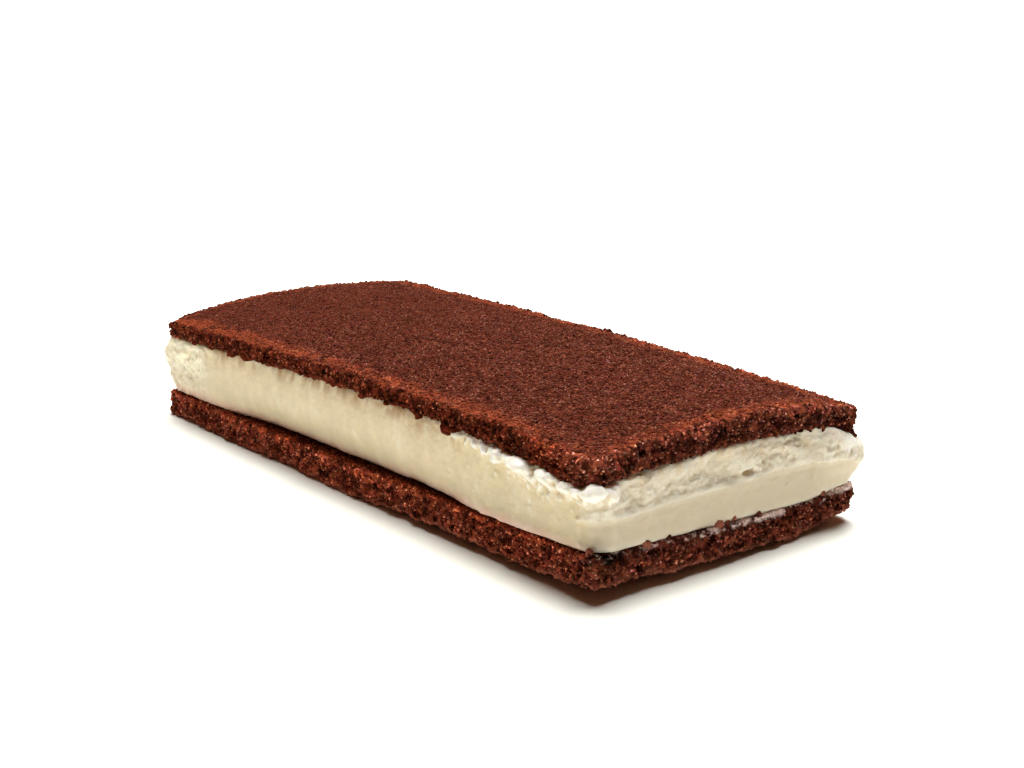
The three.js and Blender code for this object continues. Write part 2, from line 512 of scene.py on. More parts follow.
# Tone of the crumb: sizes of its patterns in mm, how much each one changes it, and shifts of hue
crumbTone = {
    "patchSize": 5,
    "patch": 0.16,
    "mottleSize": 1.5,
    "mottle": 0.28,
    "chunkSize": 0.9,
    "chunk": 0.6,
    "chunkLessOnSkin": 0.36,
    "calm": 0.4,
    # hollow: how much painted shade darkens the hollows of the walls
    "hollow": 0.75,
    "hueSize": 1.2,
    "hue": (0.05, 0.26, -0.12),  # from mauve to yellowish brown
    "longWallHue": (0, -0.24, -0.4),  # redder
    "longWallBase": 0.55,  # how much of that the base has
    "skin": (0.105, 0.0250, 0.0135, 1),
    "skinShare": 0.15,
}


# What the colours of the crumb go by
class CrumbSigns:
    def __init__(self, board, recipe):
        self.place = board.add("ShaderNodeTexCoord", out=3)
        self.x, self.y, self.z = board.split(self.place)
        self.facing = board.shown("facing")
        self.lift = board.shown("lift")
        self.patch = board.uneven(self.place, recipe["patchSize"] * mm, 3, 0.6, 6.0)
        self.mottle = board.uneven(self.place, recipe["mottleSize"] * mm, 2, 0.5, 3.0)
        chunkPlace = board.warped(self.place, sponge["chunkWarp"] * mm)
        self.chunk = board.cellTone(chunkPlace, recipe["chunkSize"] * mm)
        self.skin = self.facing.step(0.75, 0.97)
        self.upper = self.z.stepMm(9, 11)  # 1 on the top sponge
        self.end = self.x.stepMm(49.0, 49.4) * (1 - self.upper)  # 1 on the base's cut end
        self.rise = self.z + self.y * 0.04 + self.mottle * (0.15 * mm)  # height on that end
        self.near = self.y.stepMm(-17, -22)  # 1 on the near side


# Brightness of the walls against the skin: partly the crumb's own lighter colour, partly painted light. The
# walls are made brighter than the lamp leaves them, less so behind and at the left end; the base's cut end is
# darker under the cream and the top sponge's walls where they look down, as painted shade, and its near
# corner is brighter
wallToneAndLight = {
    "base": 2.06,
    "baseRight": 0.16,
    "baseLeft": 0.2,
    "baseEnd": 0.45,
    "baseBehind": 0.4,
    "underCream": 0.4,
    "top": 1.25,
    "topNear": 0.14,
    "topNearUpper": 0.35,
    "topLower": 0.5,
    "topLowerNear": 0.12,
    "topCorner": 0.5,  # added
    "topWhole": 1.05,  # times all of it
}


# Painted light and shade on the walls, by which way they face and what hangs over them
def wallBrightnessAndLight(look, recipe):
    rightHalf = look.x.stepMm(5, 45)
    leftHalf = look.x.stepMm(-15, -40)
    leftEnd = look.x.stepMm(-45, -49)
    farHalf = look.y.stepMm(-15, 15)
    behind = farHalf.atLeast(leftEnd) * (1 - look.end)
    # painted shade under the cream, on the upper part of the base's cut end
    underCream = look.end * look.rise.stepMm(2.6, 4.4)
    base = recipe["base"] - rightHalf * recipe["baseRight"] - leftHalf * recipe["baseLeft"]
    base = base - look.end * recipe["baseEnd"] - behind * recipe["baseBehind"]
    base = base * (1 - underCream * recipe["underCream"])
    corner = look.x.stepMm(36, 47) * look.near
    near = look.near * look.x.stepMm(44, 34)
    upperHalf = look.facing.step(0, 0.5)
    # faces of the top sponge's walls that look down are darker, as painted shade
    lowerHalf = look.facing.step(0.35, -0.25)
    top = recipe["top"] - near * (recipe["topNear"] + upperHalf * recipe["topNearUpper"])
    top = top - lowerHalf * (recipe["topLower"] - near * recipe["topLowerNear"])
    top = (top + corner * recipe["topCorner"]) * recipe["topWhole"]
    return base + look.upper * (top - base)


# Tones a colour by the chunk it lies in and evens it out on the skin. It paints shade into the hollows of the
# walls and round the bite, and brings in the walls' painted light
def toned(board, look, colour, recipe):
    hollow = look.lift.step(0.05, -0.35) * (1 - look.skin)
    lost = board.ball(look.place, bite["centre"], [v * bite["shadeReach"] for v in bite["radii"]])
    calm = look.skin * calmShare(look.x, look.y)
    chunk = look.chunk * (recipe["chunk"] - look.skin * recipe["chunkLessOnSkin"])
    fine = (chunk + look.mottle * recipe["mottle"]) * (1 - calm * recipe["calm"])
    tone = 1 + fine + look.patch * recipe["patch"]
    # painted shade in the hollows and round the bite
    tone = tone * (1 - hollow * recipe["hollow"]) * (1 - lost * bite["shade"])
    wall = wallBrightnessAndLight(look, wallToneAndLight)
    colour = board.scaled(colour, tone * (wall + look.skin * (1 - wall)))
    hue = board.uneven(look.place, recipe["hueSize"] * mm, 3, 0.7, 12.0)
    colour = board.hued(colour, hue, recipe["hue"])
    longSides = abs(look.y).stepMm(18, 21.5)
    longWall = longSides * look.x.stepMm(48.5, 44) * (1 - look.skin)
    longWall = longWall * (recipe["longWallBase"] + look.upper * (1 - recipe["longWallBase"]))
    colour = board.hued(colour, longWall, recipe["longWallHue"])
    return board.blend(look.skin * recipe["skinShare"], colour, recipe["skin"])


# The pale border on the top sponge's upper face, and the paler upper edge of the base, which is painted light
# where the cream and the top sponge shade it
paleBorder = {
    "gain": (1.15, 0.88, 0.50),
    "colour": (0.200, 0.0420, 0.0170, 1),
    "share": 0.45,
    "moreAtLeft": 0.35,
    "lessAtCorner": 0.7,
    "baseEdge": 0.45,
}


def bordered(board, look, colour, recipe):
    inward = inwardFrom(look.x, look.y, sponge["tips"])
    left = look.x.stepMm(-10, -30)
    corner = look.x.stepMm(32, 44) * look.y.stepMm(-15, -20)
    border = look.facing.step(0.7, 0.95) * inward.stepMm(4.8, 1.8)
    border = border * (1 + left * recipe["moreAtLeft"] - corner * recipe["lessAtCorner"])
    # painted light on the base's upper edge
    edge = look.facing.step(0.1, 0.5) * look.facing.step(0.995, 0.93)
    edge = edge * (recipe["baseEdge"] - look.end * recipe["baseEdge"])
    spotted = (look.chunk + look.patch + look.mottle).step(-1.5, 0.9)
    pale = (edge + look.upper * (border - edge)) * spotted
    return board.blend(pale * recipe["share"], board.hued(colour, pale, recipe["gain"]), recipe["colour"])


# The lower rims are paler, most of all the base's: partly the crust's own colour, partly painted light from
# the table and the cream below
paleFoot = {"colour": (0.420, 0.1500, 0.0950, 1), "share": 0.8, "lessOnTop": 0.75}


def footed(board, look, colour, recipe):
    foot = look.facing.step(-0.1, -0.5) * (look.mottle + look.chunk).step(-1.2, 0.8)
    return board.blend(foot * (recipe["share"] - look.upper * recipe["lessOnTop"]), colour, recipe["colour"])


# Cream smeared on the base's rim at the cut end, in mm
smear = {
    "colour": (1.000, 0.8000, 0.7400, 1),
    "share": 0.9,
    "patchSize": 2.6,
    "moreAtFarSide": 8,  # on a metre
    "raggedSize": 1.0,
    "raggedRise": 0.3,
    "bentRise": 1.1,  # the far corner is bent up
}


def smeared(board, look, colour, recipe):
    bent = look.y.stepMm(13.4, 22.4) * recipe["bentRise"] * mm
    ragged = board.uneven(look.place, recipe["raggedSize"] * mm, 2, 0.6, 9.5) * (recipe["raggedRise"] * mm)
    patch = board.uneven(look.place, recipe["patchSize"] * mm, 3, 0.7, 2.0)
    coat = look.end * (look.rise + ragged - bent).stepMm(4.1, 4.7) * look.facing.step(-0.8, -0.6)
    coat = coat * (patch + look.y * recipe["moreAtFarSide"]).step(-0.2, 0.3)
    return board.blend(coat * recipe["share"], colour, recipe["colour"])


# All that the crumb and its grains have in common
def baked(board, colour):
    look = CrumbSigns(board, crumbTone)
    colour = toned(board, look, colour, crumbTone)
    colour = bordered(board, look, colour, paleBorder)
    colour = footed(board, look, colour, paleFoot)
    return smeared(board, look, colour, smear)


def cocoaMaterial(recipe):
    material, board, shader = newMaterial("cocoaCrumb")
    place = board.add("ShaderNodeTexCoord", out=3)
    speck = board.uneven(place, recipe["speckSize"] * mm, 1, 0.5, 2.2)
    height = board.shown("lift") / recipe["liftUnit"] + speck * recipe["speckHeight"]
    # Low places get the deep colour as painted shade, high places the middle one
    colour = board.blend(height.step(-1.0, 0.9), recipe["deep"], recipe["middle"])
    board.feed(baked(board, colour), shader, "Base Color")
    board.feed(recipe["roughness"] + speck * recipe["speckRoughness"], shader, "Roughness")
    shader.inputs["Specular IOR Level"].default_value = 0.0
    return material


# How soon each point may be thinned out: first what the cream covers, then the base's underside
def hiddenWeight(mesh, recipe, coveredSide):
    places, normals = meshArrays(mesh)
    halfLong, halfWide = recipe["walls"]
    inward = np.minimum(halfLong * mm - np.abs(places[:, 0]), halfWide * mm - np.abs(places[:, 1]))
    facing = normals[:, 2] * coveredSide
    weight = np.where((inward > recipe["covered"][1] * mm) & (facing > 0.2), 1.0, 0.0)
    if coveredSide > 0:
        weight = np.where((inward > recipe["onTable"] * mm) & (facing < -0.2), 0.5, weight)
    return weight


# coveredSide is 1 where the cream covers the slab's upper face and -1 where it covers the lower one
def makeSlab(nodeName, pieceName, recipe, material, coveredSide, biteDepth):
    voxel = recipe["voxel"] * mm * coarseness()
    piece = copyNode(nodeName, pieceName, voxel, 1)
    cragInputs = {
        "Crag size": recipe["cragSize"] * mm,
        "Crag depth": recipe["cragDepth"] * mm,
        "Chunk size": recipe["chunkSize"] * mm,
        "Chunk depth": recipe["chunkDepth"] * mm,
        "Pit size": recipe["pitSize"] * mm,
        "Pit depth": recipe["pitDepth"] * mm,
        "Bite depth": biteDepth * mm,
    }
    attach(piece, cragTree(cragInputs, recipe), cragInputs)
    settle(piece)
    meltTogether(piece, voxel)
    crumbInputs = {
        "Crumb size": recipe["crumbSize"] * mm,
        "Crumb depth": recipe["crumbDepth"] * mm,
        "Covered side": float(coveredSide),
    }
    attach(piece, crumbTree(crumbInputs, recipe, material), crumbInputs)
    settle(piece)
    thinOut(piece, hiddenWeight(piece.data, recipe, coveredSide), recipe["triangles"])
    finishPiece(piece, "cocoa_sponge", nodeName)
    return piece


# Grains that stand on both slabs, one piece for each kind: radius in mm, colours linear
grainKinds = {
    "darkGrains": {"radius": 0.31, "colour": (0.072, 0.0145, 0.0080), "wallGain": 1.0, "seed": 3},
    "brownGrains": {"radius": 0.30, "colour": (0.115, 0.0275, 0.0155), "wallGain": 1.0, "seed": 13},
    "warmGrains": {"radius": 0.28, "colour": (0.188, 0.0570, 0.0320), "wallGain": 1.0, "seed": 23},
    "paleGrains": {"radius": 0.21, "colour": (0.240, 0.1040, 0.0740), "wallGain": 1.15, "seed": 33},
}
# For every kind: how many on a square millimetre, and how size and shade differ over the slabs
grains = {
    "onSkin": 2.0,
    "onWalls": 1.8,
    "wallSize": 1.2,
    "lessOnSkin": 0.2,
    "lessWhereCalm": 0.25,
    "calm": 0.45,
    "darkest": 0.65,
    "darkerOnWalls": 0.3,
    "leftDarker": 0.2,
    "calmDarkest": 0.35,
    "spread": 1.05,
    "wallSpread": 0.9,
    "leftSpread": 0.65,
    "roughness": 0.95,
    "tintRoughness": 0.2,
}


def grainTree(slabs, inputs, recipe, material):
    board = geometryBoard("standingGrains", inputs)
    give = board.inputs
    shapes = [board.add("GeometryNodeObjectInfo", None, {"Object": slab}, out=4) for slab in slabs]
    skin = abs(board.kept("facing")).step(0.6, 0.9)
    density = (skin * give["Skin grains"] + (1 - skin) * give["Wall grains"]) * board.kept("bare")
    grain = board.add("GeometryNodeMeshUVSphere", None, {"Segments": 4, "Rings": 2, "Radius": 1.0})
    x, y, z = board.split(board.add("GeometryNodeInputPosition"))
    radius = give["Grain radius"] * (recipe["wallSize"] - skin * recipe["lessOnSkin"])
    radius = radius * (1 - skin * calmShare(x, y) * recipe["lessWhereCalm"])
    spots = board.spread(board.join(*shapes), density, give["Seed"])
    board.leave(board.finished(board.scatter(spots, grain, radius, give["Seed"]), material))
    return board


# Grains differ most on the torn walls, less towards the left, and least on the calm skin
def grainMaterial(name, kind, recipe):
    material, board, shader = newMaterial(name)
    tint = board.shown("tint")
    torn = board.shown("facing").step(0.9, 0.6)
    x, y, z = board.split(board.add("ShaderNodeTexCoord", out=3))
    calm = calmShare(x, y) * (1 - torn) * recipe["calm"]
    left = x.stepMm(0, -40)
    darkest = recipe["darkest"] - torn * (recipe["darkerOnWalls"] - left * recipe["leftDarker"])
    darkest = darkest + calm * recipe["calmDarkest"]
    spread = recipe["spread"] - calm * recipe["spread"]
    spread = spread + torn * (recipe["wallSpread"] - left * recipe["leftSpread"])
    shade = (darkest + tint * tint * spread) * (1 + torn * (kind["wallGain"] - 1))
    board.feed(baked(board, board.scaled(kind["colour"], shade)), shader, "Base Color")
    board.feed(recipe["roughness"] - tint * recipe["tintRoughness"], shader, "Roughness")
    shader.inputs["Specular IOR Level"].default_value = 0.02
    return material


def makeGrains(slabs, recipe, kinds):
    for name, kind in kinds.items():
        piece = addObject(name, bpy.data.meshes.new(name))
        grainInputs = {
            "Skin grains": recipe["onSkin"] / mm ** 2,
            "Wall grains": recipe["onWalls"] / mm ** 2,
            "Grain radius": kind["radius"] * mm,
            "Seed": kind["seed"],
        }
        material = grainMaterial(name, kind, recipe)
        attach(piece, grainTree(slabs, grainInputs, recipe, material), grainInputs)
        settle(piece)
        finishPiece(piece, "cocoa_sponge")


# Cream: sizes and depths in mm, colours linear
cream = {
    "firstVoxel": 0.25,
    "voxel": 0.24,
    "triangles": 185000,
    "walls": (50.2, 21.8),  # half the length and the width
    "hidden": (48, 19),  # half of what the sponges hide
    "wanderSize": 4,
    "calmEnd": 0.7,  # how calm the cut end is where it isn't frothy
    "streakSize": 4,
    "streak": 0.15,
    "flakySize": 1.6,
    "flaky": 0.14,
    "tearSize": 1.9,
    "tear": 0.30,
    "lessTearAtEnd": 0.25,
    "squeezedSize": 1.6,
    "squeezed": 1.0,
    "foot": 0.4,
    "corner": 3.2,
    "lip": 0.4,
    "groove": 0.15,  # against the lip
    "overCrease": 0.5,
    "overFadedCrease": 0.75,
    "pit": 1.2,
    "setBack": 0.3,
    "farOut": 0.3,
    "farUp": 1.1,
    "leftOut": 0.9,
    "cover": 0.28,
    "lump": 1.0,
    "lumpUnevenSize": 1.4,
    "lumpUneven": 0.5,
    "flakes": 1.3,
    "strayFlakes": 0.06,
    "flakeRadius": 0.58,
    "flakeSeed": 51,
    "fineSize": 0.8,
    "fine": 0.17,
    "moreFineAtEnd": 0.6,
    "fineOnSmooth": 0.1,
}
# Lumps pressed out under the top sponge, and specks that stick to the side: their places and radii
lumps = [
    ((33.5, -22.4, 13.9), (1.4, 1.0, 0.65)),
    ((37.4, -22.7, 14.0), (2.2, 1.3, 0.95)),
    ((42.6, -22.8, 13.9), (2.0, 1.0, 0.7)),
    ((45.9, -22.7, 13.5), (1.4, 0.9, 0.7)),
    ((50.3, -22.0, 13.8), (1.6, 1.4, 1.05)),
    ((28.6, -21.9, 14.3), (1.3, 0.8, 0.45)),
    ((24.6, -21.8, 14.5), (1.1, 0.7, 0.40)),
    ((39.6, -22.2, 12.9), (1.1, 0.6, 0.4)),
    ((30.8, -21.8, 12.1), (0.7, 0.6, 0.35)),
    ((26.6, -21.7, 11.0), (0.4, 0.5, 0.6)),
    ((43.8, -21.9, 11.3), (0.9, 0.5, 0.35)),
    ((34.3, -21.8, 9.0), (0.7, 0.5, 0.25)),
    ((38.9, -22.0, 9.0), (0.5, 0.5, 0.3)),
    ((47.6, -22.0, 9.9), (0.6, 0.5, 0.4)),
]
# On the cut end in mm: the pit, and where it is frothy, over the crease, beside the pit and at the far corner
pitBall = ((50, 3.2, 10.8), (4, 1.5, 0.6))
frothBalls = [
    ((50, -12, 12.0), (9, 13, 1.5)),
    ((50, 8, 11.9), (9, 7, 2.0)),
    ((50, 18.5, 10.8), (9, 6, 2.4)),
]


# Lines on the filling, height in mm: the crease, and the top sponge's lower edge on the near side and the end
crease = {"height": 10.15, "bow": 1.6, "slope": 0.025}
nearEdge = {"height": 15.2, "bow": 0.83, "slope": 0.013}
endEdge = {"height": 14.1, "bow": 5, "slope": 0.05}


# Height over the crease that runs across the cut end
def creaseRise(y, z):
    return z - (crease["height"] * mm - y * y * crease["bow"] - y * crease["slope"])


# Depth below the top sponge, on the near side
def underTop(x, z):
    return nearEdge["height"] * mm + x * nearEdge["slope"] - x * x * nearEdge["bow"] - z


# Depth below the top sponge, on the cut end
def underTopEnd(y, z):
    return endEdge["height"] * mm - y * endEdge["slope"] - y * y * endEdge["bow"] - z


def cutEndShare(x):
    return x.stepMm(47.5, 48.5)


# How the edges of torn places wander, mostly from -1 to 1
def wandering(board, place):
    return board.uneven(place, cream["wanderSize"] * mm, 3, 0.6, 3.3)


# Where the filling is ragged, beside the near right corner under the top sponge, from 0 to 1
def raggedShare(board, place):
    x, y, z = board.split(place)
    wander = wandering(board, place) * (4 * mm)
    return (x + z * 4.0 + wander).stepMm(76, 92) * z.stepMm(9.8, 12.8)


# Where the filling is torn rather than smooth, from 0 to 1
def tornShare(board, place):
    x, y, z = board.split(place)
    wander = wandering(board, place) * (2.5 * mm)
    cutEnd = x.stepMm(48.0, 49.0) * creaseRise(y, z).stepMm(-0.1, 0.2)
    leftEnd = (x + wander).stepMm(-37, -41)
    return cutEnd.atLeast(raggedShare(board, place)).atLeast(leftEnd)


# Where it is frothy: all that is torn, but on the cut end mostly in a few places
def frothShare(board, place, torn):
    cutEnd = cutEndShare(board.split(place)[0])
    moved = board.warped(place, 1.5 * mm)
    over, beside, far = [board.ball(moved, centre, radii) for centre, radii in frothBalls]
    return torn * (1 - cutEnd * (1 - over.atLeast(beside).atLeast(far)) * cream["calmEnd"])


# How far the sides stand out: streaks where they are smooth, tears, what is squeezed out, and the foot
def sideRelief(board, place, give, recipe):
    x, y, z = board.split(place)
    cutEnd = cutEndShare(x)
    torn = tornShare(board, place)
    tall = board.vectors("MULTIPLY", place, (1, 1, 0.35))
    streaks = board.uneven(tall, recipe["streakSize"] * mm, 3, 0.55, 1.7) * give["Streak"] * (1 - torn)
    flaky = x.stepMm(5, 30) * recipe["flaky"] * mm
    flaky = board.uneven(place, recipe["flakySize"] * mm, 3, 0.6, 4.4) * flaky
    tear = give["Tear"] * frothShare(board, place, torn) * (1 - cutEnd * recipe["lessTearAtEnd"])
    tear = board.uneven(place, recipe["tearSize"] * mm, 3, 0.6, 5.1) * tear
    squeezed = underTop(x, z).stepMm(2.2, 0.6) * x.stepMm(24, 34) * y.stepMm(-18, -20)
    clots = board.uneven(place, recipe["squeezedSize"] * mm, 3, 0.6, 2.7).step(-0.8, 0.7)
    squeezed = squeezed * clots * recipe["squeezed"] * mm
    foot = (z - x * 0.017).stepMm(7.2, 4.8) * (1 - cutEnd * y.stepMm(-21.5, -18))
    foot = foot * x.stepMm(-35, -5) * recipe["foot"] * mm
    return streaks + flaky + tear + squeezed + foot


# How far the cut end stands out: a lip under the crease, a groove over it, the part above and a pit
def endRelief(board, place, give, recipe):
    x, y, z = board.split(place)
    rise = creaseRise(y, z)
    fading = y.stepMm(-3, 9)
    inner = y.stepMm(-20, -16)
    lip = rise.stepMm(0.2, 0) * rise.stepMm(-0.9, -0.2) * (1 - fading)
    groove = rise.stepMm(0, 0.3) * rise.stepMm(0.9, 0.4) * (1 - fading)
    even = fading.atLeast(1 - inner)
    sharp = rise.stepMm(-0.1, 0.2) * (1 - even) * recipe["overCrease"]
    faded = rise.stepMm(-0.9, 0.1) * even * recipe["overFadedCrease"]
    pit = board.ball(board.warped(place, 0.6 * mm), *pitBall) * recipe["pit"] * mm
    return (lip - groove * recipe["groove"]) * inner * give["Lip"] + (sharp + faded) * mm - pit


# Wears the near right corner round
def wornCorner(board, place, corner, recipe):
    x, y, z = board.split(place)
    halfLong, halfWide = recipe["walls"]
    beyondX = (x - halfLong * mm + corner).atLeast(0)
    beyondY = (corner - halfWide * mm - y).atLeast(0)
    apart = board.add("ShaderNodeMath", {"operation": "SQRT"}, {0: beyondX * beyondX + beyondY * beyondY})
    over = (apart - corner).atLeast(0) / apart * beyondX.atMost(beyondY).stepMm(0, 1.5)
    worn = over * z.stepMm(13.8, 12.2)
    return board.combined(beyondX * worn * -1, beyondY * worn, 0)


# Lifts the far right corner with the bent base, and bulges the top of the left end
def bulged(board, place, recipe):
    x, y, z = board.split(place)
    far = x.stepMm(46, 49) * y.stepMm(8, 18) * z.stepMm(9, 11)
    leftTop = x.stepMm(-46, -49) * z.stepMm(8.5, 11)
    along = (far * recipe["farOut"] - leftTop * recipe["leftOut"]) * mm
    return board.combined(along, 0, far * recipe["farUp"] * mm)


def pressedLumps(board, place, normal, give, recipe):
    balls = []
    for centre, radii in lumps:
        scale = board.scaled([v * mm for v in radii], give["Lump"])
        sockets = {"Geometry": board.roundBall(3), "Translation": [v * mm for v in centre], "Scale": scale}
        balls.append(board.add("GeometryNodeTransform", None, sockets))
    uneven = board.uneven(place, recipe["lumpUnevenSize"] * mm, 3, 0.6, 6.6) * recipe["lumpUneven"] * mm
    return board.moved(board.join(*balls), board.scaled(normal, uneven))


# Flakes crowd where the near side is ragged, and are smaller elsewhere
def looseFlakes(board, body, place, side, give, recipe):
    x, y, z = board.split(place)
    near = y.stepMm(-19, -20.5) * side
    ragged = raggedShare(board, place)
    crowd = ragged.atLeast(x.stepMm(15, 40) * recipe["strayFlakes"]) * near * give["Flakes"]
    spots = board.spread(body, crowd, recipe["flakeSeed"])
    radius = give["Flake radius"] * (0.5 + ragged * 0.5)
    return board.scatter(spots, board.roundBall(2), radius, recipe["flakeSeed"])


# Presses and tears the filling, and adds the lumps and flakes
def creamTree(inputs, recipe):
    board = geometryBoard("pressedCream", inputs)
    give = board.inputs
    place = board.add("GeometryNodeInputPosition")
    normal = board.add("GeometryNodeInputNormal")
    x, y, z = board.split(place)
    level = abs(board.split(normal)[2])
    side = level.step(0.85, 0.55)
    cutEnd = cutEndShare(x)
    relief = sideRelief(board, place, give, recipe) + cutEnd * endRelief(board, place, give, recipe)
    cover = level.step(0.75, 0.95) * recipe["cover"] * mm  # up and down, to meet the sponges
    shaded = underTopEnd(y, z).stepMm(0.6, -0.6) * y.stepMm(-2, 5)
    back = board.scaled((-1.0, 0.0, 0.0), cutEnd * shaded * recipe["setBack"] * mm)
    offset = board.vectors("ADD", back, wornCorner(board, place, give["Corner"], recipe))
    offset = board.vectors("ADD", board.scaled(normal, side * relief + cover), offset)
    offset = board.vectors("ADD", offset, bulged(board, place, recipe))
    body = board.moved(give["Geometry"], offset)
    pressedOut = pressedLumps(board, place, normal, give, recipe)
    flakes = looseFlakes(board, body, place, side, give, recipe)
    board.leave(board.join(body, pressedOut, flakes))
    return board


# Fine froth. Each point keeps how torn it is and how far it lies over its surroundings.
def creamFinishTree(inputs, recipe, material):
    board = geometryBoard("creamSkin", inputs)
    give = board.inputs
    place = board.add("GeometryNodeInputPosition")
    normal = board.add("GeometryNodeInputNormal")
    torn = tornShare(board, place)
    cutEnd = cutEndShare(board.split(place)[0])
    share = frothShare(board, place, torn) * (1 + cutEnd * recipe["moreFineAtEnd"]) + recipe["fineOnSmooth"]
    fine = board.uneven(place, recipe["fineSize"] * mm, 4, 0.65, 8.1) * share
    rough = board.moved(give["Geometry"], board.scaled(normal, fine * give["Fine depth"]))
    known = board.store(rough, "torn", torn)
    board.leave(board.finished(board.measured(known, place, normal, 20), material))
    return board


# Look of the cream: linear colours, sizes in mm, how much each thing changes it, and its finish
creamLook = {
    "smooth": (0.785, 0.655, 0.420, 1),
    "cut": (0.645, 0.550, 0.400, 1),
    "torn": (0.93, 0.90, 0.81, 1),
    "froth": (0.765, 0.705, 0.585, 1),
    # warm white at the top of the left end: froth and painted light
    "leftFrothAndLight": (0.96, 0.870, 0.650, 1),
    # tan, the brown under the top sponge and foot are painted shade and reflected light, the brown with some
    # stains
    "tan": (0.66, 0.480, 0.240, 1),
    "stainAndShade": (0.47, 0.275, 0.120, 1),
    "foot": (0.66, 0.310, 0.245, 1),
    "cloudSize": 3,
    "fleckSize": 1.0,
    "blotchSize": 1.8,
    "spotSize": 2.2,
    "whiteTorn": 0.4,
    "whiteCloud": 0.16,
    # whiteLift, whiteLip, whiteGleam and whiteLeft paint highlights and light
    "whiteLift": 2.6,
    "whiteLip": 0.5,
    "whiteGleam": 0.5,
    "whiteLeft": 0.35,
    "whiteFleck": 0.45,
    # darkerBelow and darkerAtRight are painted shade
    "darkerBelow": 0.13,
    "darkerAtRight": 0.07,
    "cloudTone": 0.06,
    "blotchTone": 0.05,
    "leftLowSmooth": 0.45,
    "tanEnd": 0.5,
    "stainAndShadeShare": 0.95,
    "footShare": 0.6,
    "roughness": 0.45,
    "cloudRoughness": 0.06,
    "specular": 0.35,
    "subsurface": 0.4,
    "subsurfaceRadius": (1.0, 0.7, 0.4),
    "subsurfaceScale": 0.8,
    "bump": 0.4,
    "bumpSize": 0.9,
    "bumpDepth": 0.2,
}
# The gleam is painted light at the far right corner
gleamBall = ((51, 20.3, 11.2), (5, 2.8, 1.4))  # a bright place at the far right corner, in mm


# What the colours of the cream go by
class CreamSigns:
    def __init__(self, board, recipe):
        self.place = board.add("ShaderNodeTexCoord", out=3)
        self.x, self.y, self.z = board.split(self.place)
        self.torn = board.shown("torn")
        self.lift = board.shown("lift")
        self.tall = board.vectors("MULTIPLY", self.place, (1, 1, 0.4))  # for patterns drawn out upwards
        self.cloud = board.uneven(self.tall, recipe["cloudSize"] * mm, 3, 0.55, 1.0)
        self.cutFace = self.x.stepMm(47.5, 49.6)
        # gleam and leftTop mark places painted bright as painted light
        self.gleam = board.ball(self.place, *gleamBall)
        self.leftTop = self.x.stepMm(-36, -42) * self.z.stepMm(7, 9.5) * self.y.stepMm(-6, -16)
        flecked = self.x.stepMm(0, 30) * (1 - self.cutFace) + self.torn * self.cutFace
        fleck = board.uneven(self.place, recipe["fleckSize"] * mm, 3, 0.6, 14.0)
        self.fleck = fleck.step(0.4, 1.0) * flecked


# How white the cream is, from 0 to 1: most where it is torn or flecked, with painted highlights where it
# stands out and on the lip under the crease, and painted light at the far right corner and the top of the
# left end
def whiteShare(look, recipe):
    rise = creaseRise(look.y, look.z)
    lip = rise.stepMm(0.25, 0.05) * rise.stepMm(-0.6, -0.15) * look.cutFace
    lip = lip * look.y.stepMm(-20, -16) * look.y.stepMm(9, -3)
    share = look.torn * recipe["whiteTorn"] + look.cloud * recipe["whiteCloud"]
    # painted highlights where it stands out and on the lip, painted light at the gleam and the left top
    share = share + look.lift * recipe["whiteLift"] + lip * recipe["whiteLip"]
    share = share + look.gleam * recipe["whiteGleam"] + look.leftTop * recipe["whiteLeft"]
    share = share + look.fleck * recipe["whiteFleck"]
    return share.step(-0.05, 0.8)


# The smooth cream, darker towards the bottom and the right as painted shade, and its whites where it is torn
# or frothy, with painted light at the top of the left end
def whitened(board, look, recipe):
    low = look.z.stepMm(12, 6.5)
    blotch = board.uneven(look.place, recipe["blotchSize"] * mm, 3, 0.6, 7.0)
    # painted shade: darker lower down, where the side curls under, and towards the right
    even = (1 - low * recipe["darkerBelow"]) * (1 - look.x.stepMm(15, 45) * recipe["darkerAtRight"])
    tone = even * (1 + look.cloud * recipe["cloudTone"] + blotch * recipe["blotchTone"])
    smooth = board.scaled(recipe["smooth"][:3], tone)
    colour = board.blend(look.cutFace, smooth, recipe["cut"])
    inner = look.cutFace * look.y.stepMm(-21, -17)
    besideCorner = look.x.stepMm(38, 45) * look.z.stepMm(13, 11.8)
    leftLow = look.x.stepMm(-25, -35) * (1 - look.leftTop)
    calmer = inner.atLeast(besideCorner).atLeast(leftLow) * (1 - look.gleam) * (1 - look.fleck)
    white = board.blend(calmer, recipe["torn"], recipe["froth"])
    white = board.blend(leftLow * recipe["leftLowSmooth"], white, recipe["smooth"])
    # the top of the left end is warm white, partly froth and partly painted light
    white = board.blend(look.leftTop, white, recipe["leftFrothAndLight"])
    return board.blend(whiteShare(look, recipe), colour, white)


